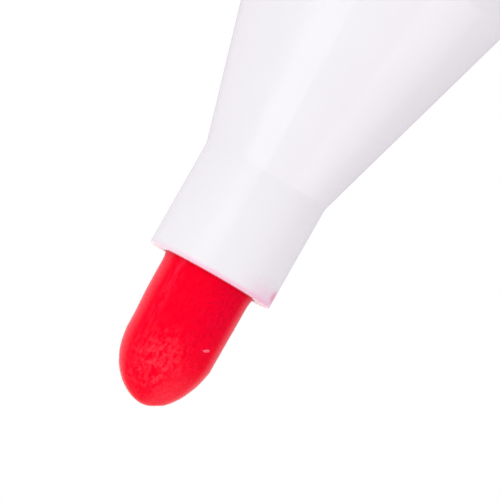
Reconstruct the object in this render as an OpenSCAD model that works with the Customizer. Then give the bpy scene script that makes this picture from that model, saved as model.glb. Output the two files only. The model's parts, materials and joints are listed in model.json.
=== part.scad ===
// Felt tip marker with a bullet nib, a conical nose and a cap posted on its tail.
// It stands on the closed end of the cap, with the nib at the top.
// Millimetres, with +Z running up the axis from the cap's closed end to the nib.

/* [Nib] */
// Diameter of the fibre rod
nib_d = 4.85; // [4.4:0.05:5.2]
// Length of nib that stands out of the collar
nib_out = 7.25; // [5:0.05:9]
// Length of the bullet point
nib_point = 3.05; // [2:0.05:4.5]
// Length of nib that dips into the reservoir
nib_dip = 8; // [5:0.5:12]

/* [Nose] */
// Diameter of the collar round the nib
collar_d = 6.8; // [6.5:0.1:8]
// Length of the collar
collar_l = 5.7; // [4:0.05:7]
// Length of the cone
cone_l = 12.25; // [10.5:0.25:15]
// Diameter of the seat that the cap pushes on to
seat_d = 13.9; // [13.7:0.1:14.5]
// Length of that seat
seat_l = 9; // [7:0.5:12]
// Radial gap between the nib and its hole, which the ribs in the hole bridge
nib_gap = 0.175; // [0.1:0.025:0.25]

/* [Barrel] */
// Outer diameter of the barrel and of the flanges at its ends
barrel_d = 16.6; // [16.2:0.1:17.4]
// Bore of the barrel
bore_d = 14; // [13.6:0.1:14.2]
// Length of the barrel tube
barrel_l = 80; // [70:1:95]
// Thickness of the flange at each end of the barrel
flange_t = 1.2; // [1:0.1:1.6]
// Length of the label
label_l = 46; // [30:1:50]
// Thickness of the label film
label_t = 0.1; // [0.08:0.01:0.15]

/* [Reservoir] */
// Diameter of the fibre core
core_d = 11; // [9:0.1:11]
// Thickness of the film round the core
sheath_t = 0.15; // [0.1:0.05:0.2]
// Outer diameter of the breather tube
breather_d = 1.3; // [1.1:0.1:1.5]

/* [Tail] */
// Length of the stub that the cap is posted on
stub_l = 11; // [9:0.5:13]

/* [Cap] */
// Outer diameter of the cap, which stands a little proud of the barrel
cap_d = 17; // [16.8:0.1:18]
// Length of cap behind the nib's tip when the cap is on the nose
cap_back = 7.8; // [7.5:0.1:10]
// Radial clearance between the cap and its seats
cap_fit = 0.07; // [0.05:0.01:0.1]
// Number of grip flutes round the cap
flutes = 24; // [12:2:28]
// Width of the pocket clip
clip_w = 4.6; // [4:0.1:5]
// Thickness of the pocket clip
clip_t = 1.3; // [1.2:0.1:1.4]

/* [Hidden] */
$fn = 96;

ink = [0.86, 0.02, 0.07];
white = [0.93, 0.92, 0.94];
overlap = 0.2;      // how far a rib runs into the wall that carries it
slip = 0.02;        // radial gap between two pieces that are pushed together
past = 1;           // how far a cutter runs past what it cuts
rib_count = 6;      // ribs in each ring of ribs

// Heights along the axis, from the closed end of the posted cap upwards
cap_l = seat_l + cone_l + collar_l + nib_out + cap_back;
cap_gap = 0.05;                        // between the cap's mouth and the tail flange
z_tail = cap_l + cap_gap;              // underside of the tail flange
z_barrel = z_tail + flange_t;
z_nose = z_barrel + barrel_l;          // underside of the nose flange
z_seat = z_nose + flange_t;
z_cone = z_seat + seat_l;
z_neck = z_cone + cone_l;              // where the cone meets the collar
z_rim = z_neck + collar_l;
z_tip = z_rim + nib_out;

barrel_r = barrel_d / 2;
cap_r = cap_d / 2;
bore_r = bore_d / 2;
seat_r = seat_d / 2;
collar_r = collar_d / 2;
nib_r = nib_d / 2;
hole_r = nib_r + nib_gap;
spigot_r = bore_r - slip;              // the nose and the tail plug push into the barrel
edge_r = 0.25;                         // rounding of the flanges' edges

// Points of an arc about [x, y], from angle a to angle b, in degrees
function arc(x, y, r, a, b, n = 6) =
    [for (i = [0:n]) let (t = a + (b - a) * i / n) [x + r * cos(t), y + r * sin(t)]];

// Rounded outer edge of a flange that runs from height z0 to z1
function flange(z0, z1) =
    concat(arc(barrel_r - edge_r, z0 + edge_r, edge_r, -90, 0, 4),
           arc(barrel_r - edge_r, z1 - edge_r, edge_r, 0, 90, 4));

// A solid of revolution about the Z axis, from points [radius, height]
module turned(points) {
    rotate_extrude() polygon(points);
}

// A ring of ribs along the axis, each from radius r0 to r1 and from height z0 to z1
module ribs(r0, r1, z0, z1, thickness) {
    for (i = [0:rib_count - 1])
        rotate([0, 0, i * 360 / rib_count])
            translate([r0, -thickness / 2, z0])
                cube([r1 - r0, thickness, z1 - z0]);
}

// ---- Writing end ----

core_top = z_seat + 3;                 // stop for the reservoir's front end
nib_back = core_top - nib_dip;
nib_tail_r = 0.9;                      // the nib's rear end is a blunt point
nib_tail_l = 3;

// Bullet nib: a rod of bonded fibre with an ogive at the front and a blunt point at the back
module nib() {
    steps = 18;
    fullness = 0.53;                   // 0.5 would be an ellipse, and more is sharper
    flatness = 0.16;                   // straightens the sides of the point
    z_point = z_tip - nib_point;
    ogive = [for (i = [0:steps]) let (s = sin(90 * i / steps))
             [nib_r * (pow(1 - s * s, fullness) - flatness * s * (1 - s)),
              z_point + nib_point * s]];
    color(ink)
        turned(concat([[0, nib_back], [nib_tail_r, nib_back], [nib_r, nib_back + nib_tail_l]],
                      ogive));
}

nose_wall = 1.15;
nose_bore_r = seat_r - nose_wall;
cone_slope = (seat_r - collar_r) / cone_l;
cone_angle = atan(cone_slope);
guide_r = hole_r + 1.1;                // outside of the tube that guides the nib
guide_end = z_neck - 9.5;
spigot_l = 8;

// Inside of the nose behind its guide tube, one wall thickness in from the outside
module nose_cavity() {
    z_open = z_nose - spigot_l - past;
    z_meet = z_neck - (guide_r + nose_wall - collar_r) / cone_slope;
    turned([[0, z_open], [nose_bore_r, z_open], [nose_bore_r, z_cone],
            [guide_r, z_meet], [guide_r, guide_end], [0, guide_end]]);
}

// Outline of the nose: spigot, flange, seat, cone and collar
function nose_outline() =
    let (blend_r = 1,
         blend_run = blend_r * tan(cone_angle / 2),
         lead = 0.4,
         rim_edge = 0.08)
    concat(
        [[0, z_nose - spigot_l], [spigot_r - lead, z_nose - spigot_l],
         [spigot_r, z_nose - spigot_l + 1], [spigot_r, z_nose]],
        flange(z_nose, z_seat),
        [[seat_r, z_seat]],
        arc(seat_r - blend_r, z_cone - blend_run, blend_r, 0, cone_angle, 3),
        arc(collar_r + blend_r, z_neck + blend_run, blend_r, 180 + cone_angle, 180, 3),
        arc(collar_r - rim_edge, z_rim - rim_edge, rim_edge, 0, 90),
        [[0, z_rim]]);

// Nose: the collar, the cone, the cap's seat, a flange and a spigot, in one moulding
module nose() {
    nib_rib_w = 0.5;
    stay_w = 0.8;
    color(white) {
        difference() {
            turned(nose_outline());
            nose_cavity();
            translate([0, 0, guide_end - past])
                cylinder(r = hole_r, h = z_rim - guide_end + 2 * past);
        }
        // Ribs that grip the nib and leave air channels between them
        ribs(nib_r + slip, hole_r + overlap, guide_end, z_rim - 1.2, nib_rib_w);
        // Stays that carry the guide tube and stop the reservoir
        intersection() {
            ribs(hole_r + 0.35, seat_r, core_top, z_neck - 5, stay_w);
            turned([[0, core_top], [nose_bore_r + overlap, core_top],
                    [nose_bore_r + overlap, z_cone],
                    [collar_r - nose_wall + overlap, z_neck], [0, z_neck]]);
        }
    }
}

// ---- Barrel and ink store ----

label_z = z_barrel + 9;                // lower edge of the label
core_bottom = z_barrel + 9.5;
sheath_r = core_d / 2 + slip + sheath_t;
sheath_tail = 0.4;                     // how far the film runs past the core's rear end

// Barrel: a tube with inner ribs, and a shallow recess for the label
module barrel() {
    rib_w = 0.8;
    rib_clear = 0.1;
    rib_z0 = z_barrel + 10.5;
    rib_z1 = z_nose - spigot_l - 1.5;
    color(white) {
        turned(concat(
            [[bore_r, z_barrel]],
            arc(barrel_r - edge_r, z_barrel + edge_r, edge_r, -90, 0, 4),
            [[barrel_r, label_z], [barrel_r - label_t, label_z],
             [barrel_r - label_t, label_z + label_l], [barrel_r, label_z + label_l]],
            arc(barrel_r - edge_r, z_nose - edge_r, edge_r, 0, 90, 4),
            [[bore_r, z_nose]]));
        ribs(sheath_r + rib_clear, bore_r + overlap, rib_z0, rib_z1, rib_w);
    }
}

// Label: a printed film that goes round the barrel and stops just short of itself
module barrel_label() {
    seam = 3;                          // degrees
    glue = 0.01;
    color("white")
        rotate([0, 0, 90 + seam / 2])
            rotate_extrude(angle = 360 - seam)
                translate([barrel_r - label_t + glue, label_z + slip])
                    square([label_t - glue, label_l - 2 * slip]);
}

core_l = core_top - slip - core_bottom;
breather_r = breather_d / 2;
breather_y = core_d / 2 - breather_r - slip;
groove_r = breather_r + slip;

// Groove along the core for the breather tube
module breather_groove() {
    translate([0, breather_y, core_bottom - past]) {
        cylinder(r = groove_r, h = core_l + 2 * past);
        translate([-groove_r, 0, 0]) cube([2 * groove_r, core_d, core_l + 2 * past]);
    }
}

// Reservoir core: a bundle of fibre, with the hole that the nib presses into its front
module reservoir_core() {
    color([0.75, 0.05, 0.1])
        difference() {
            translate([0, 0, core_bottom]) cylinder(r = core_d / 2, h = core_l);
            turned([[0, nib_back - slip], [nib_tail_r + slip, nib_back - slip],
                    [nib_r + slip, nib_back + nib_tail_l - slip],
                    [nib_r + slip, core_top + past], [0, core_top + past]]);
            breather_groove();
        }
}

// Reservoir sheath: the film sleeve round the core, a little longer than the core behind
module reservoir_sheath() {
    sheath_l = core_l + sheath_tail;
    color([0.9, 0.9, 0.92])
        translate([0, 0, core_bottom - sheath_tail])
            difference() {
                cylinder(r = sheath_r, h = sheath_l);
                translate([0, 0, -past]) cylinder(r = sheath_r - sheath_t, h = sheath_l + 2 * past);
            }
}

// Breather tube: lets air past the core as the ink leaves it
module breather_tube() {
    wall = 0.3;
    inset = 0.5;                       // it stops short of the core at both ends
    tube_l = core_l - 2 * inset;
    color([0.95, 0.95, 0.95])
        translate([0, breather_y, core_bottom + inset])
            difference() {
                cylinder(r = breather_r, h = tube_l);
                translate([0, 0, -past]) cylinder(r = breather_r - wall, h = tube_l + 2 * past);
            }
}

// ---- Tail ----

// Tail plug: a spigot in the barrel, a flange, and the stub that the cap is posted on
module tail_plug() {
    wall = 1.2;
    plug_l = 7;
    lead = 0.4;
    round_r = 1;
    web_t = 1;
    z_stub = z_tail - stub_l;
    floor_z = z_stub + wall;
    inner_r = seat_r - wall;
    web_top = core_bottom - slip;
    color(ink) {
        difference() {
            turned(concat(
                [[0, z_stub]],
                arc(seat_r - round_r, z_stub + round_r, round_r, -90, 0),
                [[seat_r, z_tail]],
                flange(z_tail, z_barrel),
                [[spigot_r, z_barrel], [spigot_r, z_barrel + plug_l - 1],
                 [spigot_r - lead, z_barrel + plug_l], [0, z_barrel + plug_l]]));
            translate([0, 0, floor_z])
                cylinder(r = inner_r, h = z_barrel + plug_l - floor_z + past);
        }
        // Crossed webs that hold the reservoir forward, cut back where they meet its film
        difference() {
            intersection() {
                translate([0, 0, floor_z - overlap])
                    cylinder(r = inner_r + overlap, h = web_top - floor_z + overlap);
                for (turn = [0, 90])
                    rotate([0, 0, turn])
                        translate([-barrel_r, -web_t / 2, z_stub])
                            cube([barrel_d, web_t, web_top - z_stub]);
            }
            translate([0, 0, core_bottom - sheath_tail - slip])
                difference() {
                    cylinder(r = seat_r, h = past);
                    translate([0, 0, -past])
                        cylinder(r = sheath_r - sheath_t - slip, h = 3 * past);
                }
        }
    }
}

// ---- Cap ----

// Where the nib's tip and the collar come to when the cap is on the nose
capped_tip = cap_back;
capped_rim = capped_tip + nib_out;
capped_neck = capped_rim + collar_l;

cap_bore_r = seat_r + cap_fit;
ledge_z = capped_rim - 0.7;            // the inner seal's flange sits on this ledge
chamber_r = 6.4;                       // bore behind the ledge
plug_r = 6.85;                         // end plug
plug_t = 3;
lug_w = 6.4;
lug_r = 2.1;
bead_r = 1.1;                          // the clip's round root
bead_fit = 0.05;
bead_y = -cap_r - 1.6;
bead_z = 2.9;

// One grip flute with round ends, on the +X side of the cap
module flute() {
    flute_r = 0.7;
    depth = 0.28;
    flute_z = ledge_z + 7.5;
    flute_l = cap_l - 3 - flute_z;
    translate([cap_r + flute_r - depth, 0, flute_z]) {
        cylinder(r = flute_r, h = flute_l);
        sphere(r = flute_r);
        translate([0, 0, flute_l]) sphere(r = flute_r);
    }
}

// Cap shell: the tube, with a ledge inside and grip flutes outside
module cap_shell() {
    foot_r = 1;
    lip_r = 0.3;
    lead = 0.3;
    smooth = 25;                       // degrees without flutes on each side of the clip
    clip_turn = 270;
    notch_in = 1.5;                    // how far the lug's notch reaches into the chamber
    color(ink)
        difference() {
            turned(concat(
                [[plug_r + slip, 0]],
                arc(cap_r - foot_r, foot_r, foot_r, -90, 0),
                arc(cap_r - lip_r, cap_l - lip_r, lip_r, 0, 90, 4),
                [[cap_bore_r + lead, cap_l], [cap_bore_r, cap_l - 2 * lead],
                 [cap_bore_r, ledge_z], [chamber_r, ledge_z],
                 [chamber_r, plug_t], [plug_r + slip, plug_t]]));
            // Notch for the end plug's lug
            translate([-lug_w / 2 - slip, -cap_r - past, -past])
                cube([lug_w + 2 * slip, cap_r + past - chamber_r + notch_in,
                      bead_z + lug_r + slip + past]);
            for (i = [0:flutes - 1])
                let (turn = (i + 0.5) * 360 / flutes)
                    if (abs(turn - clip_turn) > smooth)
                        rotate([0, 0, turn]) flute();
        }
}

// Inner seal: the closed sleeve that grips the collar when the cap is on the nose
module cap_inner_seal() {
    floor_t = 0.9;
    nib_room = 0.9;
    flange_h = 1.4;
    vent_r = 0.9;
    round_r = 0.8;
    lip_r = 0.25;
    lead = 0.3;
    seal_r = collar_r + 0.05;
    sleeve_r = seal_r + 0.9;
    rim_r = cap_bore_r - slip;
    z_floor = capped_tip - nib_room;
    z_bottom = z_floor - floor_t;
    z_mouth = capped_neck - 1.15;
    color([0.92, 0.92, 0.9])
        difference() {
            turned(concat(
                [[0, z_bottom]],
                arc(sleeve_r - round_r, z_bottom + round_r, round_r, -90, 0),
                [[sleeve_r, ledge_z], [rim_r, ledge_z], [rim_r, ledge_z + flange_h],
                 [sleeve_r, ledge_z + flange_h]],
                arc(sleeve_r - lip_r, z_mouth - lip_r, lip_r, 0, 90, 3),
                [[seal_r + lead, z_mouth], [seal_r, z_mouth - 3 * lead],
                 [seal_r, z_floor], [0, z_floor]]));
            // Half-round vents in the flange's edge, which let air past it
            for (i = [0:rib_count - 1])
                rotate([0, 0, i * 360 / rib_count])
                    translate([rim_r, 0, ledge_z - past])
                        cylinder(r = vent_r, h = flange_h + 2 * past);
        }
}

// End plug: closes the cap, lets air through, and carries the clip in a lug
module cap_end_plug() {
    bevel = 0.25;
    root = 1.6;                        // how far the lug runs into the disc
    swing = 0.35;                      // room for the clip to flex outwards
    vent_turns = [30, 150, 270];
    vent_at = 3.6;
    vent_r = 0.8;
    color(ink)
        difference() {
            union() {
                turned([[0, 0], [plug_r - bevel, 0], [plug_r, bevel], [plug_r, plug_t - slip],
                        [0, plug_t - slip]]);
                translate([-lug_w / 2, bead_y, bead_z - lug_r])
                    cube([lug_w, -bead_y - plug_r + root, 2 * lug_r]);
                translate([-lug_w / 2, bead_y, bead_z])
                    rotate([0, 90, 0]) cylinder(r = lug_r, h = lug_w);
            }
            // Socket for the clip's bead, and the slot that the bead is pressed in through
            translate([-lug_w / 2 - past, bead_y, bead_z])
                rotate([0, 90, 0]) cylinder(r = bead_r + bead_fit, h = lug_w + 2 * past);
            translate([-lug_w / 2 - past, bead_y - clip_t / 2 - swing, bead_z])
                cube([lug_w + 2 * past, clip_t + swing + 2 * bead_fit, lug_r + past]);
            for (turn = vent_turns)
                rotate([0, 0, turn])
                    translate([vent_at, 0, -past]) cylinder(r = vent_r, h = plug_t + 2 * past);
        }
}

// Pocket clip: a flat arm on a round root bead, with a nub at its free end
module pocket_clip() {
    arm_top = cap_l - 6;
    nub_r = 1.4;
    nub_gap = 0.25;
    nub_y = -cap_r - nub_gap - nub_r;
    color(ink) {
        translate([-lug_w / 2, bead_y, bead_z])
            rotate([0, 90, 0]) cylinder(r = bead_r, h = lug_w);
        translate([-clip_w / 2, 0, 0])
            rotate([90, 0, 90])
                linear_extrude(height = clip_w) {
                    translate([bead_y - clip_t / 2, bead_z]) square([clip_t, arm_top - bead_z]);
                    translate([bead_y, arm_top]) circle(r = clip_t / 2);
                    translate([nub_y, arm_top - nub_r]) circle(r = nub_r);
                }
    }
}

nib();
nose();
barrel();
barrel_label();
reservoir_core();
reservoir_sheath();
breather_tube();
tail_plug();
cap_shell();
cap_inner_seal();
cap_end_plug();
pocket_clip();
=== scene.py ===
"""Looks for the felt tip marker: a detailed nib and nose, materials, studio and camera.

Everything is in metres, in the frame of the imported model: the marker stands on its posted cap,
+Z runs up its axis to the nib, and the camera looks roughly along +Y.
"""
import json
import math
import random

import bpy
from mathutils import Matrix, Vector, noise


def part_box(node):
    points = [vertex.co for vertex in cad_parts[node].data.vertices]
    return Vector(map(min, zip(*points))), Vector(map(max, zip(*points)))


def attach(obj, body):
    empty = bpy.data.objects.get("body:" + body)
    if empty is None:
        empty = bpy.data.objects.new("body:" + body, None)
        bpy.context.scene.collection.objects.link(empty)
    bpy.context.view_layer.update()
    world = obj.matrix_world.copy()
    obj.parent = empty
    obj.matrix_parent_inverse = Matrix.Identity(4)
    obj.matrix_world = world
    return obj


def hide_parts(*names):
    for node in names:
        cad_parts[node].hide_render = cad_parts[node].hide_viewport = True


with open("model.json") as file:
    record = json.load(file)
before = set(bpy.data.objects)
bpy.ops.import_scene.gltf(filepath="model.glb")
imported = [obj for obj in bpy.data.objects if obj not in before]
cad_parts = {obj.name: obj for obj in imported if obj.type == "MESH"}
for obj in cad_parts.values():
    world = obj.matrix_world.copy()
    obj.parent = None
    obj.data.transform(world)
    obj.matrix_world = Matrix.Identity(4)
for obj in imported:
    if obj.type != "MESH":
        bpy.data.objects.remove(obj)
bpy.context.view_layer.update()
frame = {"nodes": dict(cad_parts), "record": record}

MM = 0.001

# ---- Sizes, all from the frame ----

MOUNTS = {mount["name"]: mount for mount in frame["record"]["mounts"]}
COLLAR_R = MOUNTS["nose_collar"]["dims"]["r_mm"] * MM
BARREL_R = MOUNTS["barrel_grip"]["dims"]["r_mm"] * MM
NIB_LOW, NIB_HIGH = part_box("nib")
NIB_R = NIB_HIGH.x
TIP_Z = NIB_HIGH.z
RIM_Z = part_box("nose")[1].z
LABEL_LOW, LABEL_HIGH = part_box("barrel_label")

WORN_SIDE = Vector((1, 0, 0))          # the side of the nib that writing has worn

random.seed(7)


# ---- Mesh helpers ----

def mesh_object(name, vertices, faces):
    """A new smooth mesh object at the origin."""
    mesh = bpy.data.meshes.new(name)
    mesh.from_pydata(vertices, [], faces)
    mesh.polygons.foreach_set("use_smooth", [True] * len(mesh.polygons))
    mesh.update()
    made = bpy.data.objects.new(name, mesh)
    bpy.context.scene.collection.objects.link(made)
    return made


def closed_lathe(rows, around, place):
    """Vertices and faces of a skin with a pole at each end.

    rows are heights between the poles, and place(turn, height) gives a point.
    """
    turns = [2 * math.pi * i / around for i in range(around)]
    vertices = [place(turn, height) for height in rows for turn in turns]
    faces = []
    for row in range(len(rows) - 1):
        for i in range(around):
            a, b = row * around + i, row * around + (i + 1) % around
            faces.append((a, b, b + around, a + around))
    low, high = len(vertices), len(vertices) + 1
    last = (len(rows) - 1) * around
    vertices.append(sum((Vector(v) for v in vertices[:around]), Vector()) / around)
    vertices.append(sum((Vector(v) for v in vertices[last:last + around]), Vector()) / around)
    for i in range(around):
        j = (i + 1) % around
        faces.append((j, i, low))
        faces.append((last + i, last + j, high))
    return vertices, faces


# ---- Material helpers ----

def new_material(name):
    """A material, its node tree and its Principled shader."""
    made = bpy.data.materials.new(name)
    made.use_nodes = True
    return made, made.node_tree, made.node_tree.nodes["Principled BSDF"]


def set_inputs(tree, node, inputs):
    """Sets each named input, by a link where the value is another node's socket."""
    for key, value in inputs.items():
        if isinstance(value, bpy.types.NodeSocket):
            tree.links.new(value, node.inputs[key])
        else:
            node.inputs[key].default_value = value


def add_node(tree, kind, inputs=None, **settings):
    """A new node with its settings and inputs."""
    node = tree.nodes.new(kind)
    for key, value in settings.items():
        setattr(node, key, value)
    set_inputs(tree, node, inputs or {})
    return node


def position(tree, scale=(1, 1, 1)):
    """The point being shaded, in millimetres along the marker's own axes, times scale."""
    where = add_node(tree, "ShaderNodeTexCoord")
    per_metre = [factor / MM for factor in scale]
    return add_node(tree, "ShaderNodeVectorMath", {0: where.outputs["Object"], 1: per_metre},
                    operation="MULTIPLY").outputs[0]


def noise_value(tree, scale, detail=4, rough=0.5, lean=(1, 1, 1), warp=0.0):
    """Noise from 0 to 1, with scale features a millimetre, and lean to stretch it."""
    return add_node(tree, "ShaderNodeTexNoise",
                    {"Vector": position(tree, lean), "Scale": scale, "Detail": detail,
                     "Roughness": rough, "Distortion": warp}).outputs["Fac"]


def ramp(tree, value, low, high, to_low=0.0, to_high=1.0):
    """value mapped smoothly from low..high to to_low..to_high."""
    return add_node(tree, "ShaderNodeMapRange",
                    {"Value": value, "From Min": low, "From Max": high,
                     "To Min": to_low, "To Max": to_high},
                    interpolation_type="SMOOTHSTEP").outputs["Result"]


def math_node(tree, operation, first, second=0.0):
    """The result of one operation on two values."""
    return add_node(tree, "ShaderNodeMath", {0: first, 1: second}, operation=operation).outputs[0]


def mix_colour(tree, factor, first, second):
    """first where factor is 0, second where it is 1."""
    node = add_node(tree, "ShaderNodeMix", data_type="RGBA")
    for socket, value in zip((node.inputs[0], node.inputs[6], node.inputs[7]),
                             (factor, first, second)):
        if isinstance(value, bpy.types.NodeSocket):
            tree.links.new(value, socket)
        else:
            socket.default_value = value
    return node.outputs[2]


def axes_mm(tree):
    """X, Y and Z of the point being shaded, in millimetres."""
    return add_node(tree, "ShaderNodeSeparateXYZ", {0: position(tree)}).outputs


def from_axis_mm(tree):
    """Distance from the marker's axis, in millimetres."""
    return add_node(tree, "ShaderNodeVectorMath", {0: position(tree, (1, 1, 0))},
                    operation="LENGTH").outputs["Value"]


def multiply(tree, first, second):
    """A product of two values."""
    return math_node(tree, "MULTIPLY", first, second)


def bump(tree, height, strength, depth_mm):
    """A normal from a height map."""
    return add_node(tree, "ShaderNodeBump",
                    {"Height": height, "Strength": strength, "Distance": depth_mm * MM}).outputs[0]


def near(tree, centre, radius_mm, soft_mm, scale=(1, 1, 1)):
    """1 close to a point, falling to 0 over soft_mm beyond radius_mm, with distances times scale."""
    centre_mm = [value / MM * factor for value, factor in zip(centre, scale)]
    distance = add_node(tree, "ShaderNodeVectorMath", {0: position(tree, scale), 1: centre_mm},
                        operation="DISTANCE").outputs["Value"]
    return ramp(tree, distance, radius_mm, radius_mm + soft_mm, 1.0, 0.0)


# ---- Materials ----

# The white plastic is a little green, which offsets the lavender light
WHITE = (0.84, 0.861, 0.84, 1)

BRIGHT_INK = (1.0, 0.0, 0.02, 1)
DEEP_INK = (0.92, 0.0, 0.018, 1)
# Deep red of the painted shade on the nib's -X side
SHADE_INK = (0.6, 0.0, 0.032, 1)
# Pink of the painted highlight stripe
HIGHLIGHT_INK = (1.0, 0.022, 0.07, 1)
DRY_INK = (1.0, 0.05, 0.075, 1)
# Pale coral of the painted sheen along the nib's outline
SHEEN_INK = (1.0, 0.11, 0.16, 1)

# Middle of the patch that is rubbed dry, on the nib's -Y side
RUBBED_AT = Vector((0.08 * NIB_R, -0.9 * NIB_R, TIP_Z - 2.3 * MM))


def felt_material():
    """Bonded fibre, wet with red ink: painted shade darkens its -X side, it is paler where it is rubbed
    dry, and it has painted sheen and a painted highlight.
    """
    made, tree, shader = new_material("ink_felt")
    fibres = noise_value(tree, 12, detail=4, lean=(1, 1, 0.3), warp=0.4)
    grain = noise_value(tree, 7.5, detail=3, lean=(1, 1, 0.8))
    colour = mix_colour(tree, ramp(tree, grain, 0.3, 0.62), DEEP_INK, BRIGHT_INK)
    colour = mix_colour(tree, painted_shade_felt(tree, grain), colour, SHADE_INK)
    for factor, paler in wear_and_painted_light(tree, grain):
        colour = mix_colour(tree, factor, colour, paler)
    height = math_node(tree, "ADD", multiply(tree, fibres, 0.4), grain)
    set_inputs(tree, shader, {
        "Base Color": colour, "Roughness": ramp(tree, grain, 0.3, 0.7, 0.62, 0.85),
        "Specular IOR Level": 0.01, "Sheen Weight": 0.9, "Sheen Roughness": 0.25,
        "Sheen Tint": (1.0, 0.85, 0.7, 1), "Normal": bump(tree, height, 0.5, 0.03)})
    return made


def nib_axes(tree):
    """Two values that place a point on the nib.

    The first is -1 where the skin faces -X and 1 where it faces +X. The second is the depth below
    the tip, in millimetres.
    """
    axes = axes_mm(tree)
    side = math_node(tree, "DIVIDE", axes["X"], from_axis_mm(tree))
    return side, math_node(tree, "SUBTRACT", TIP_Z / MM, axes["Z"])


def painted_shade_felt(tree, grain):
    """Painted shade: how much the felt is darkened, most near the collar on the -X side."""
    side, below = nib_axes(tree)
    shade_share = multiply(tree, ramp(tree, side, -1.0, 0.4, 0.45, 0.06),
                      ramp(tree, below, 1.0, (TIP_Z - RIM_Z) / MM, 0.15, 1.0))
    return multiply(tree, shade_share, ramp(tree, grain, 0.35, 0.6, 1.45, 0.65))


def wear_and_painted_light(tree, grain):
    """Factor and colour of each place where the felt is paler, from wear and from painted sheen and a
    painted highlight, put where the photograph shows it.
    """
    side, below = nib_axes(tree)
    # Painted sheen: pale coral bands along the nib's outline
    # Bands down the +X and -X sides, which are the nib's outline in the photograph
    painted_sheen_edge = multiply(tree, ramp(tree, side, 0.74, 1.0), ramp(tree, grain, 0.3, 0.7, 0.4, 0.8))
    painted_far_sheen = multiply(tree, ramp(tree, side, -0.98, -0.84, 1.0, 0.0), 0.5)
    return ((painted_highlight_stripe(tree, side, below), HIGHLIGHT_INK),
            (painted_sheen_edge, SHEEN_INK),
            (painted_far_sheen, SHEEN_INK),
            (rubbed_tip(tree, grain, side, below), DRY_INK),
            (rubbed_patch(tree, below), DRY_INK))


def painted_highlight_stripe(tree, side, below):
    """Painted highlight: a faint streaky stripe down the nib on each side of its +X side."""
    streaks = noise_value(tree, 4.5, detail=4, rough=0.65, lean=(1, 1, 0.35))
    stripe = multiply(tree, ramp(tree, side, 0.4, 0.6), ramp(tree, side, 0.62, 0.78, 1.0, 0.0))
    stripe = multiply(tree, stripe, ramp(tree, below, 2.5, 6.0, 0.3, 0.6))
    return multiply(tree, stripe, ramp(tree, streaks, 0.42, 0.66))


def rubbed_tip(tree, grain, side, below):
    """The tip's -X side."""
    tip = multiply(tree, ramp(tree, below, 0.4, 3.0, 0.62, 0.0),
                   ramp(tree, side, -0.7, -0.1, 1.0, 0.0))
    return multiply(tree, tip, ramp(tree, grain, 0.3, 0.7, 0.7, 1.2))


def rubbed_patch(tree, below):
    """Specks, most of them in the patch that is rubbed dry."""
    lumps = noise_value(tree, 4.2, detail=5, rough=0.7, lean=(1, 1, 0.6))
    patch = near(tree, RUBBED_AT, 0.2, 1.5, (1, 1, 0.75))
    anywhere = ramp(tree, below, 0.6, 4.5, 0.35, 0.05)
    dryness = math_node(tree, "ADD", multiply(tree, patch, 0.75), anywhere)
    return multiply(tree, ramp(tree, lumps, 0.4, 0.7), dryness)


def lint_material():
    """A pale fleck of fibre that has picked up a little ink."""
    made, tree, shader = new_material("lint")
    ink = noise_value(tree, 9, detail=3)
    inked, pale = (1.0, 0.1, 0.15, 1), (1.0, 0.19, 0.25, 1)
    set_inputs(tree, shader, {
        "Base Color": mix_colour(tree, ramp(tree, ink, 0.35, 0.65), inked, pale),
        "Roughness": ramp(tree, ink, 0.3, 0.7, 0.6, 0.8), "Specular IOR Level": 0.1,
        "Normal": bump(tree, ink, 0.4, 0.01)})
    return made


def plastic_colour(tree, colour, shade):
    """A moulding's colour, very slightly cloudy."""
    cloud = noise_value(tree, 0.12, detail=3)
    darker = tuple(channel * shade for channel in colour[:3]) + (1,)
    return mix_colour(tree, ramp(tree, cloud, 0.35, 0.65), darker, colour)


def scratches(tree, amount):
    """Sparse hair-fine handling marks along the marker, from 0 to amount."""
    lines = noise_value(tree, 12, detail=2, lean=(1, 1, 0.03), warp=0.6)
    patch = noise_value(tree, 0.25, detail=2)
    thin = ramp(tree, lines, 0.64, 0.7)
    return multiply(tree, thin, ramp(tree, patch, 0.5, 0.7, 0.0, amount))


def plastic_surface(tree, shader, rough, orange_peel, marks):
    """Roughness and fine relief of a moulded plastic skin, with handling marks added to both."""
    cloud = noise_value(tree, 0.6, detail=4)
    base = ramp(tree, cloud, 0.3, 0.7, rough * 0.85, rough * 1.15)
    relief = math_node(tree, "SUBTRACT", noise_value(tree, 2.2, detail=2), marks)
    set_inputs(tree, shader, {"Roughness": math_node(tree, "ADD", base, marks),
                              "Normal": bump(tree, relief, orange_peel, 0.01)})


def white_plastic(name, stain=None):
    """A white moulding, with stain(tree, white), if given, over its colour."""
    made, tree, shader = new_material(name)
    colour = plastic_colour(tree, WHITE, 0.985)
    if stain:
        colour = stain(tree, colour)
    set_inputs(tree, shader, {"Base Color": colour})
    return made, tree, shader


def white_plastic_material():
    """The barrel's white plastic, with handling marks."""
    made, tree, shader = white_plastic("white_plastic")
    plastic_surface(tree, shader, 0.09, 0.03, scratches(tree, 0.08))
    return made


PINK = (0.95, 0.5, 0.66, 1)
DARK_PINK = (0.8, 0.2, 0.36, 1)
PALE_END = (0.84, 0.66, 0.64, 1)
# Darker colours of the end face: stain and painted shade
STAINED_SHADED_END = (0.7, 0.36, 0.37, 1)
OLD_INK_AND_SHADE = (0.6, 0.19, 0.2, 1)


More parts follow.
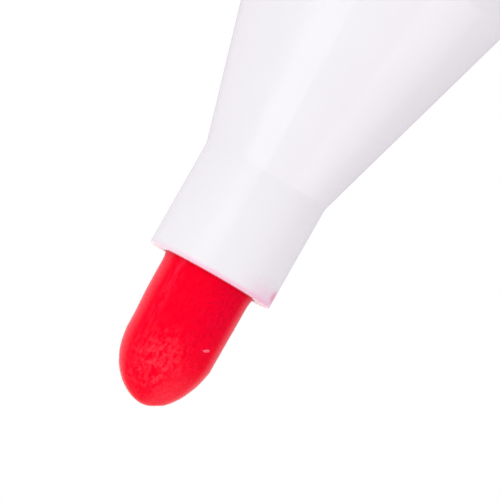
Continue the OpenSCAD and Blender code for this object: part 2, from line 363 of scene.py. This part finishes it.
def ink_stain(tree, white):
    """Ink that has crept down from the rim, with a blot on the -X side, and the end face, inked and
    with painted shade.
    """
    axes = axes_mm(tree)
    drop = math_node(tree, "SUBTRACT", RIM_Z / MM, axes["Z"])
    colour = white
    for factor in crept_ink(tree, axes["X"], drop):
        colour = mix_colour(tree, factor, colour, PINK)
    blot_at = Vector((-COLLAR_R, -0.12 * COLLAR_R, RIM_Z - 0.58 * MM))
    along_rim = (1, 0.35, 1)
    blot = near(tree, blot_at, 0.14, 0.34, along_rim)
    colour = mix_colour(tree, multiply(tree, blot, 0.85), colour, DARK_PINK)
    end_face = ramp(tree, drop, 0.005, 0.02, 1.0, 0.0)
    return mix_colour(tree, end_face, colour, end_face_colour(tree, axes["X"]))


def crept_ink(tree, x, drop):
    """A broad faint wash on the -X side, and a thin band along the rim that is weaker at +X."""
    side = COLLAR_R / MM
    uneven = ramp(tree, noise_value(tree, 1.2, detail=3), 0.3, 0.7, 0.85, 1.15)
    creep = multiply(tree, drop, uneven)
    wash = multiply(tree, ramp(tree, x, -side, -0.35 * side, 0.5, 0.0),
                    ramp(tree, creep, 0.2, 1.5, 1.0, 0.0))
    thin_band = multiply(tree, ramp(tree, x, 0.2 * side, 0.9 * side, 0.8, 0.3),
                         ramp(tree, creep, 0.02, 0.36, 1.0, 0.0))
    return wash, thin_band


def end_face_colour(tree, x):
    """The collar's end face: cream at +X, pinker and darker at -X with stain and painted shade, and
    brown round the nib with old ink and painted shade.
    """
    hole, edge = 1.07 * NIB_R / MM, COLLAR_R / MM
    inked_to = 0.45 * hole + 0.55 * edge
    outer = mix_colour(tree, ramp(tree, x, -edge, edge), STAINED_SHADED_END, PALE_END)
    inked = ramp(tree, from_axis_mm(tree), hole, inked_to, 1.0, 0.0)
    return mix_colour(tree, inked, outer, OLD_INK_AND_SHADE)


def nose_material():
    """The nose's white plastic, stained with ink at the rim, where handling has dulled it."""
    made, tree, shader = white_plastic("white_plastic_inked", ink_stain)
    drop = math_node(tree, "SUBTRACT", RIM_Z / MM, axes_mm(tree)["Z"])
    plastic_surface(tree, shader, 0.09, 0.03, ramp(tree, drop, 0.8, 3.0, 0.12, 0.0))
    return made


def red_plastic_material():
    """Glossy red moulding."""
    made, tree, shader = new_material("red_plastic")
    set_inputs(tree, shader, {"Base Color": plastic_colour(tree, (0.56, 0.004, 0.014, 1), 0.9),
                              "Subsurface Weight": 0.08, "Subsurface Radius": (1, 0.1, 0.1),
                              "Subsurface Scale": 0.0006})
    plastic_surface(tree, shader, 0.17, 0.05, scratches(tree, 0.07))
    return made


def natural_plastic_material():
    """Undyed, milky moulding."""
    made, tree, shader = new_material("natural_plastic")
    set_inputs(tree, shader, {"Base Color": plastic_colour(tree, (0.8, 0.8, 0.76, 1), 0.97),
                              "Subsurface Weight": 0.4, "Subsurface Radius": (1, 1, 0.9),
                              "Subsurface Scale": 0.001})
    plastic_surface(tree, shader, 0.4, 0.05, scratches(tree, 0.05))
    return made


def fibre_core_material():
    """Bundle of fibre soaked with ink."""
    made, tree, shader = new_material("ink_fibre")
    fibres = noise_value(tree, 8, detail=5, rough=0.6, lean=(1, 1, 0.04))
    dark, light = (0.32, 0.0, 0.01, 1), (0.7, 0.01, 0.03, 1)
    set_inputs(tree, shader, {
        "Base Color": mix_colour(tree, ramp(tree, fibres, 0.35, 0.65), dark, light),
        "Roughness": ramp(tree, fibres, 0.3, 0.7, 0.5, 0.8), "Sheen Weight": 0.2,
        "Normal": bump(tree, fibres, 0.6, 0.05)})
    return made


def film_material():
    """Thin clear film with soft wrinkles."""
    made, tree, shader = new_material("clear_film")
    wrinkles = noise_value(tree, 0.8, detail=3, lean=(1, 1, 0.3))
    set_inputs(tree, shader, {
        "Base Color": mix_colour(tree, wrinkles, (0.85, 0.85, 0.88, 1), (0.95, 0.95, 0.96, 1)),
        "Roughness": ramp(tree, wrinkles, 0.3, 0.7, 0.08, 0.2), "Transmission Weight": 0.8,
        "Normal": bump(tree, wrinkles, 0.3, 0.1)})
    return made


def band(tree, height, low, high, soft=0.04):
    """1 between two heights, in millimetres."""
    return multiply(tree, ramp(tree, height, low - soft, low + soft),
                    ramp(tree, height, high - soft, high + soft, 1.0, 0.0))


BAR_PITCH = 3.5                        # of the label's slanted bars, in millimetres round it


def label_material():
    """Printed film: a broad red band, thin lines and a row of slanted bars."""
    made, tree, shader = new_material("label_film")
    axes = axes_mm(tree)
    paper = (0.86, 0.86, 0.87, 1)
    colour = label_print(tree, axes["Z"], paper)
    colour = mix_colour(tree, slanted_bars(tree, axes), colour, (0.85, 0.3, 0.33, 1))
    rubbed_off = ramp(tree, noise_value(tree, 1.1, detail=5, rough=0.7), 0.66, 0.8, 0.0, 0.35)
    colour = mix_colour(tree, rubbed_off, colour, paper)
    set_inputs(tree, shader, {"Base Color": colour, "Coat Weight": 0.6, "Coat Roughness": 0.08})
    plastic_surface(tree, shader, 0.18, 0.04, scratches(tree, 0.06))
    return made


def label_print(tree, height, paper):
    """The label's plain bands and lines."""
    low, high = LABEL_LOW.z / MM, LABEL_HIGH.z / MM
    ink, grey = (0.66, 0.006, 0.025, 1), (0.3, 0.31, 0.34, 1)
    colour = paper
    for bottom, top, printed in ((low + 1.2, low + 12, ink), (high - 3.2, high - 1.2, ink),
                                 (low + 13.2, low + 13.65, ink), (low + 14.4, low + 14.85, ink),
                                 (high - 4.6, high - 4.35, grey)):
        colour = mix_colour(tree, band(tree, height, bottom, top), colour, printed)
    return colour


def slanted_bars(tree, axes):
    """How strongly the label's slanted bars are printed at a point."""
    low = LABEL_LOW.z / MM
    round_it = multiply(tree, math_node(tree, "ARCTAN2", axes["Y"], axes["X"]), BARREL_R / MM)
    slant = math_node(tree, "ADD", round_it, multiply(tree, axes["Z"], 0.5))
    wave = math_node(tree, "SINE", multiply(tree, slant, 2 * math.pi / BAR_PITCH))
    bars = multiply(tree, ramp(tree, wave, 0.2, 0.3), band(tree, axes["Z"], low + 18, low + 30))
    return multiply(tree, bars, 0.75)


def paint(node, made):
    """Gives a CAD node its material."""
    mesh = frame["nodes"][node].data
    mesh.materials.clear()
    mesh.materials.append(made)


# ---- Nib ----

POINT_L = 3.05 * MM                    # length of the bullet point
POINT_Z = TIP_Z - POINT_L
ROUNDNESS = 0.55                       # 0.5 would make the point half an ellipse, and more is slimmer
FLATNESS = 0.16                        # straightens the sides of the point
TAIL_L = 3 * MM                        # length of the blunt point at the rear end
TAIL_SHARE = 0.37                      # the rear end's radius, as a share of the nib's
WEAR = 0.1 * MM                        # how much writing has taken off the worn side
WEAR_Z = POINT_Z - 0.25 * MM           # where the wear is deepest
WEAR_SPAN = 1 * MM                     # how far up and down the wear fades
LEAN = 0.15 * MM                       # how far the worn tip has moved to the other side
FLARE = 0.12 * MM                      # how far the felt swells where it leaves its hole
FLARE_SPAN = 0.12 * MM
FLAT_FACES = Vector((-0.5, 0, 0.866))  # the way the flat that writing has worn on the tip faces
FLAT_DEPTH = 0.06 * MM
FLAT_SHARE = 0.8                       # the rest of what stands above the flat stays as a soft crown
TIP_SPAN = 0.21 * MM                   # how far the unworn tip reaches past its point that way
NIB_AROUND = 288                       # points in each row of the nib's skin
SHANK_ROWS = 230
POINT_ROWS = 130


def nib_profile(height):
    """Radius of the unworn nib."""
    if height < NIB_LOW.z + TAIL_L:
        return NIB_R * (TAIL_SHARE + (1 - TAIL_SHARE) * (height - NIB_LOW.z) / TAIL_L)
    along = (height - POINT_Z) / POINT_L
    if along <= 0:
        return NIB_R
    along = min(along, 1)
    return NIB_R * (max(1 - along ** 2, 0) ** ROUNDNESS - FLATNESS * along * (1 - along))


def felt_relief(point, near_tip):
    """How far the fibres stand out at a point, in metres."""
    where = Vector(point) / MM
    streaks = noise.fractal(Vector((where.x * 9, where.y * 9, where.z * 1.4)), 0.8, 2.2, 4)
    lumps = noise.fractal(where * 2.6, 0.9, 2.1, 3)
    grains = noise.noise(where * 17)
    return MM * (0.003 * streaks + (0.004 + 0.012 * near_tip) * lumps + 0.002 * grains)


def flatten_tip(point):
    """Presses a point of the tip back to the worn flat."""
    proud = (point - Vector((-LEAN, 0, TIP_Z))).dot(FLAT_FACES) - TIP_SPAN + FLAT_DEPTH
    return point - FLAT_FACES * max(proud, 0) * FLAT_SHARE


def nib_point_at(turn, height):
    """A point of the nib's skin, worn and fibrous."""
    side = Vector((math.cos(turn), math.sin(turn), 0))
    along = min(max((height - POINT_Z) / POINT_L, 0), 1)
    lean = LEAN * along ** 3.5
    wear = WEAR * math.exp(-0.5 * ((height - WEAR_Z) / WEAR_SPAN) ** 2)
    wear *= max(side.dot(WORN_SIDE), 0) ** 1.5
    swell = FLARE * math.exp(-abs(height - RIM_Z) / FLARE_SPAN)
    radius = max(nib_profile(height) - wear + swell, 0)
    skin = side * radius + Vector((0, 0, height))
    skin = flatten_tip(skin - WORN_SIDE * lean)
    return skin + side * felt_relief(skin, along) * min(radius / NIB_R * 2, 1)


def nib_heights():
    """Heights of the nib's rows, closer together towards the tip."""
    shank = [NIB_LOW.z + (POINT_Z - NIB_LOW.z) * i / SHANK_ROWS for i in range(SHANK_ROWS)]
    point = [POINT_Z + POINT_L * math.sin(math.pi / 2 * i / POINT_ROWS) for i in range(POINT_ROWS)]
    return shank + point


def build_nib(made):
    """The felt nib."""
    nib = mesh_object("nib_felt", *closed_lathe(nib_heights(), NIB_AROUND, nib_point_at))
    nib.data.materials.append(made)
    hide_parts("nib")
    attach(nib, "barrel_body")


def fibre(start, direction, length, radius, curl):
    """Vertices and faces of one short tapered fibre."""
    sides, steps = 4, 5
    axis = direction.normalized()
    across = axis.orthogonal().normalized()
    up = axis.cross(across)
    vertices, faces = [], []
    for step in range(steps):
        share = step / (steps - 1)
        centre = start + axis * length * share + curl * length * share ** 2
        size = radius * (1 - 0.7 * share)
        for side in range(sides):
            turn = 2 * math.pi * side / sides
            vertices.append(centre + (across * math.cos(turn) + up * math.sin(turn)) * size)
    for step in range(steps - 1):
        for side in range(sides):
            a, b = step * sides + side, step * sides + (side + 1) % sides
            faces.append((a, b, b + sides, a + sides))
    faces.append(tuple(reversed(range(sides))))
    faces.append(tuple(range((steps - 1) * sides, steps * sides)))
    return vertices, faces


def loose_fibre():
    """Vertices and faces of a fibre at a random place on the nib, more often near the tip."""
    height = RIM_Z + (TIP_Z - RIM_Z) * random.random() ** 0.6 * 0.985
    turn = random.uniform(0, 2 * math.pi)
    skin = nib_point_at(turn, height)
    out = (skin - nib_point_at(turn + math.pi, height)).normalized()
    lift = random.uniform(0.1, 0.45)
    direction = out * lift + Vector((random.uniform(-0.3, 0.3), random.uniform(-0.3, 0.3), 1))
    curl = Vector([random.uniform(-0.25, 0.25) for _ in range(3)]) - out * 0.15
    length = random.uniform(0.06, 0.14) * MM
    radius = random.uniform(0.006, 0.011) * MM
    return fibre(skin, direction, length, radius, curl)


def build_nib_fuzz(made, count=150):
    """Loose fibre ends that stand off the nib."""
    vertices, faces = [], []
    for _ in range(count):
        hair, skin_faces = loose_fibre()
        faces += [tuple(index + len(vertices) for index in face) for face in skin_faces]
        vertices += hair
    fuzz = mesh_object("nib_fuzz", vertices, faces)
    fuzz.data.materials.append(made)
    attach(fuzz, "barrel_body")


LINT_L = 0.5 * MM
LINT_HALF_W = 0.11 * MM
LINT_Z = TIP_Z - 3.74 * MM
LINT_DROP = 0.18 * MM                  # how much lower its second end lies
LINT_TURN = math.radians(-130)         # between the nib's -X side and its -Y side


def lint_axes():
    """Where the fleck of lint starts, and its directions along, out from the nib and up."""
    start = nib_point_at(LINT_TURN, LINT_Z)
    end = nib_point_at(LINT_TURN - LINT_L / NIB_R, LINT_Z - LINT_DROP)
    along = (end - start).normalized()
    out = (start - Vector((0, 0, start.z))).normalized()
    return start, along, out, along.cross(out)


def lint_point_at(axes, around, share):
    """A point of the fleck's ragged skin, which is thicker towards its second end."""
    start, along, out, up = axes
    width = LINT_HALF_W * math.sin(math.pi * share) ** 0.7 * (0.55 + 0.45 * share)
    ragged = 1 + 0.35 * noise.noise(Vector((math.cos(around), math.sin(around), 5 * share)))
    across = out * math.sin(around) * 0.6 + up * math.cos(around)
    return start + along * LINT_L * share + across * width * ragged


def build_lint(made):
    """A fleck of lint, caught on the nib."""
    axes = lint_axes()
    shares = [0.02 + 0.96 * i / 24 for i in range(25)]
    skin = closed_lathe(shares, 14, lambda around, share: lint_point_at(axes, around, share))
    lint = mesh_object("nib_lint", *skin)
    lint.data.materials.append(made)
    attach(lint, "barrel_body")


# ---- Pocket clip ----

CLIP_LOW, CLIP_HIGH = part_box("pocket_clip")
JOINTS = {joint["name"]: joint for joint in frame["record"]["behaviour"]["joints"]}
BEAD = Vector(JOINTS["clip_flex"]["pos_m"])  # centre of the clip's round root
BEAD_R = BEAD.z - CLIP_LOW.z
BEAD_EDGE = 0.3 * MM                   # radius of the root's rounded ends
ARM_HALF_T = 0.65 * MM
ARM_HALF_W = 2.3 * MM
ARM_LOW = BEAD.z - 0.3 * MM            # the arm starts inside the root
ARM_END_L = 3 * MM                     # the rows are closer together over this much of the free end
NUB_Z = CLIP_HIGH.z - 2.2 * MM
NUB_HALF_L = 1.9 * MM
GROOVE_DEPTH = 0.14 * MM
GROOVE_LOW = BEAD.z + 5 * MM
GROOVE_HIGH = NUB_Z - 4 * MM
GROOVE_RUN_OUT = 1 * MM                # each end of the groove fades over this much


def smooth(value, low, high):
    """value mapped smoothly from low..high to 0..1."""
    share = min(max((value - low) / (high - low), 0), 1)
    return share * share * (3 - 2 * share)


def arm_faces(height):
    """Where the arm's outer and inner faces are, across the clip."""
    outer = BEAD.y - ARM_HALF_T - 0.35 * MM * smooth(height, NUB_Z - 5 * MM, NUB_Z)
    inner = BEAD.y + ARM_HALF_T - 0.25 * MM * smooth(height, BEAD.z + 6 * MM, NUB_Z - 3 * MM)
    nub = max(1 - ((height - NUB_Z) / NUB_HALF_L) ** 2, 0) ** 1.5
    return outer, inner + (CLIP_HIGH.y - inner) * nub


def arm_point_at(turn, height):
    """A point of the arm's skin: flat faces, round edges, a shallow groove and a round free end."""
    across, through = math.cos(turn), math.sin(turn)
    across = math.copysign(abs(across) ** 0.45, across)
    through = math.copysign(abs(through) ** 0.45, through)
    outer, inner = arm_faces(height)
    round_end = max((height - (CLIP_HIGH.z - ARM_HALF_W)) / ARM_HALF_W, 0)
    plan = math.sqrt(max(1 - round_end ** 2, 0))
    width = ARM_HALF_W * (1 - 0.12 * smooth(height, BEAD.z, NUB_Z)) * plan
    half = (inner - outer) / 2 * plan ** 0.5
    depth = groove_depth(across, height) if through < 0 else 0
    return Vector((across * width, (outer + inner) / 2 + through * half + depth, height))


def groove_depth(across, height):
    """Depth of the shallow groove down the middle of the arm's outer face."""
    started = smooth(height, GROOVE_LOW, GROOVE_LOW + GROOVE_RUN_OUT)
    ended = smooth(height, GROOVE_HIGH - GROOVE_RUN_OUT, GROOVE_HIGH)
    return GROOVE_DEPTH * started * (1 - ended) * (1 - smooth(abs(across), 0.5, 0.62))


def bead_point_at(turn, shift):
    """A point of the clip's round root, which lies along X and has rounded ends."""
    past_edge = max(abs(shift) - (CLIP_HIGH.x - BEAD_EDGE), 0) / BEAD_EDGE
    radius = BEAD_R - BEAD_EDGE * (1 - math.sqrt(max(1 - past_edge ** 2, 0)))
    return BEAD + Vector((shift, -radius * math.cos(turn), radius * math.sin(turn)))


def arm_heights():
    """Heights of the arm's rows, closer together towards the free end."""
    end_z = CLIP_HIGH.z - ARM_END_L
    arm = [ARM_LOW + (end_z - ARM_LOW) * i / 110 for i in range(110)]
    return arm + [end_z + ARM_END_L * math.sin(math.pi / 2 * i / 40) for i in range(40)]


def bead_shifts():
    """Where the root's rows are along X, closer together over its rounded ends."""
    half = CLIP_HIGH.x
    flat = [-half + 2 * half * i / 24 for i in range(1, 24)]
    rims = [half - BEAD_EDGE * (1 - math.sin(math.pi / 2 * i / 5)) for i in range(6)]
    return sorted([-x for x in rims] + flat + rims)


def build_clip(made):
    """The pocket clip, with moulded edges."""
    arm, arm_skin = closed_lathe(arm_heights(), 160, arm_point_at)
    root, root_skin = closed_lathe(bead_shifts(), 64, bead_point_at)
    faces = arm_skin + [tuple(index + len(arm) for index in face) for face in root_skin]
    clip = mesh_object("clip", arm + root, faces)
    clip.data.materials.append(made)
    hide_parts("pocket_clip")
    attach(clip, "clip_body")


# ---- Studio ----

CAMERA_DISTANCE = 0.4
CAMERA_TARGET = Vector((-0.47 * NIB_R, 0, RIM_Z - 0.872 * NIB_R))  # middle of the picture
CAMERA_TILT = math.radians(2.9)        # the nib end leans this far towards the camera
CAMERA_ROLL = math.radians(150.35)     # the nib points down to the left
VIEW_WIDTH = 5.155 * 2 * NIB_R         # what the picture shows across, at the marker's axis
SENSOR = 36.0                          # millimetres, Blender's default sensor width


def add_camera():
    """A long lens that looks at the collar from just above level, rolled so the nib points down."""
    across = Vector((1, 0, 0))
    back = Vector((0, -math.cos(CAMERA_TILT), math.sin(CAMERA_TILT)))
    level_up = back.cross(across)
    right = across * math.cos(CAMERA_ROLL) - level_up * math.sin(CAMERA_ROLL)
    up = across * math.sin(CAMERA_ROLL) + level_up * math.cos(CAMERA_ROLL)
    camera = bpy.data.objects.new("camera", bpy.data.cameras.new("camera"))
    turned = Matrix((right, up, back)).transposed().to_4x4()
    camera.matrix_world = Matrix.Translation(CAMERA_TARGET + back * CAMERA_DISTANCE) @ turned
    camera.data.sensor_width = SENSOR
    camera.data.lens = SENSOR * CAMERA_DISTANCE / VIEW_WIDTH
    bpy.context.scene.collection.objects.link(camera)
    bpy.context.scene.camera = camera


def direction(azimuth, elevation):
    """Unit vector at azimuth degrees from the camera's side towards +X, and elevation degrees up."""
    turn, rise = math.radians(azimuth), math.radians(elevation)
    return Vector((math.sin(turn) * math.cos(rise), -math.cos(turn) * math.cos(rise), math.sin(rise)))


def add_softbox(name, azimuths, elevations, distance, radiance, colour=(1, 1, 1)):
    """A rectangular light that spans these angles as the nose sees them, with this radiance."""
    centre = direction(sum(azimuths) / 2, sum(elevations) / 2)
    width = 2 * distance * math.tan(math.radians(azimuths[1] - azimuths[0]) / 2)
    height = 2 * distance * math.tan(math.radians(elevations[1] - elevations[0]) / 2)
    light = bpy.data.lights.new(name, "AREA")
    light.shape = "RECTANGLE"
    light.size, light.size_y = width, height
    light.energy = radiance * math.pi * width * height
    light.color = colour
    lamp = bpy.data.objects.new(name, light)
    lamp.location = Vector((0, 0, RIM_Z)) + centre * distance
    lamp.rotation_euler = centre.to_track_quat("Z", "Y").to_euler()
    lamp.visible_camera = False
    bpy.context.scene.collection.objects.link(lamp)


def add_world(lobes):
    """White to the camera, and a soft surround made of broad lobes of light."""
    world = bpy.data.worlds.new("studio")
    bpy.context.scene.world = world
    world.use_nodes = True
    tree = world.node_tree
    tree.nodes.clear()
    where = add_node(tree, "ShaderNodeTexCoord").outputs["Generated"]
    total = 0.0
    for axis, radiance in lobes:
        towards = add_node(tree, "ShaderNodeVectorMath",
                           {0: where, 1: Vector(axis).normalized()},
                           operation="DOT_PRODUCT").outputs["Value"]
        total = math_node(tree, "ADD", ramp(tree, towards, -0.1, 1.0, 0.0, radiance), total)
    tinted = add_node(tree, "ShaderNodeVectorMath", {0: SURROUND_TINT, "Scale": total},
                      operation="SCALE").outputs["Vector"]
    surround = add_node(tree, "ShaderNodeBackground", {"Color": tinted, "Strength": 1.0})
    seen = add_node(tree, "ShaderNodeBackground", {"Color": (1, 1, 1, 1), "Strength": 1.0})
    path = add_node(tree, "ShaderNodeLightPath")
    both = add_node(tree, "ShaderNodeMixShader", {0: path.outputs["Is Camera Ray"],
                                                  1: surround.outputs[0], 2: seen.outputs[0]})
    add_node(tree, "ShaderNodeOutputWorld", {"Surface": both.outputs[0]})


def add_floor():
    """A pale round floor that fades out into the white surround."""
    radius, sides, below = 0.8, 96, 0.01 * MM
    turns = [2 * math.pi * i / sides for i in range(sides)]
    rim = [(radius * math.cos(turn), radius * math.sin(turn), -below) for turn in turns]
    floor = mesh_object("floor", rim, [tuple(range(sides))])
    made, tree, shader = new_material("floor")
    where = add_node(tree, "ShaderNodeTexCoord").outputs["Object"]
    distance = add_node(tree, "ShaderNodeVectorMath", {0: where}, operation="LENGTH").outputs["Value"]
    set_inputs(tree, shader, {"Base Color": (0.81, 0.85, 0.81, 1), "Roughness": 0.8,
                              "Alpha": ramp(tree, distance, 0.15 * radius, 0.9 * radius, 1.0, 0.0)})
    floor.data.materials.append(made)


SURROUND_TINT = (0.995, 0.92, 1.015)   # a faint lavender
LAVENDER = (1.0, 0.9, 1.0)             # of the softboxes on the -X side

# Direction and radiance of each lobe of the surround
SURROUND = (((1, 0, 0), 0.37), ((-1, 0, 0), 0.46), ((0, -1, 0), 0.48), ((0, 1, 0), 0.36),
            ((0, 0, 1), 0.12), ((0, 0, -1), 1.2), ((1, -1, 0), 0.28), ((1, 1, 0), 0.3))

# Name, azimuths, elevations, distance, radiance and, where it isn't white, colour of each softbox
SOFTBOXES = (
    ("key", (10.3, 41), (12, 58), 0.6, 1.08),
    ("key_edge", (41, 53), (12, 58), 0.6, 0.55),
    ("low", (9.5, 41), (-14, 11), 0.6, 0.68),
    ("low_edge", (41, 53), (-14, 11), 0.6, 0.18),
    ("fill", (-52, 8), (14, 60), 0.7, 0.26),
    ("fill_side", (-86, -52), (14, 60), 0.7, 0.96, LAVENDER),
    ("side_edge", (-102, -86), (14, 60), 0.7, 0.64, LAVENDER),
    ("side_rim", (-120, -102), (14, 60), 0.7, 0.25, LAVENDER),
    ("back", (150, 210), (5, 50), 0.7, 0.9))


def light_studio():
    """The surround and the softboxes round the marker, shown with plain contrast."""
    add_world(SURROUND)
    for softbox in SOFTBOXES:
        add_softbox(*softbox)
    bpy.context.scene.view_settings.view_transform = "Standard"
    bpy.context.scene.view_settings.look = "None"


# ---- Build ----

def build():
    """Makes every piece and every material."""
    white, inked, red = white_plastic_material(), nose_material(), red_plastic_material()
    natural, felt = natural_plastic_material(), felt_material()
    for node, made in (("nose", inked), ("barrel", white), ("barrel_label", label_material()),
                       ("reservoir_core", fibre_core_material()), ("reservoir_sheath", film_material()),
                       ("breather_tube", natural), ("tail_plug", red), ("cap_shell", red),
                       ("cap_inner_seal", natural), ("cap_end_plug", red), ("pocket_clip", red)):
        paint(node, made)
    build_nib(felt)
    build_nib_fuzz(felt)
    build_lint(lint_material())
    build_clip(red)


add_camera()
light_studio()
add_floor()
build()
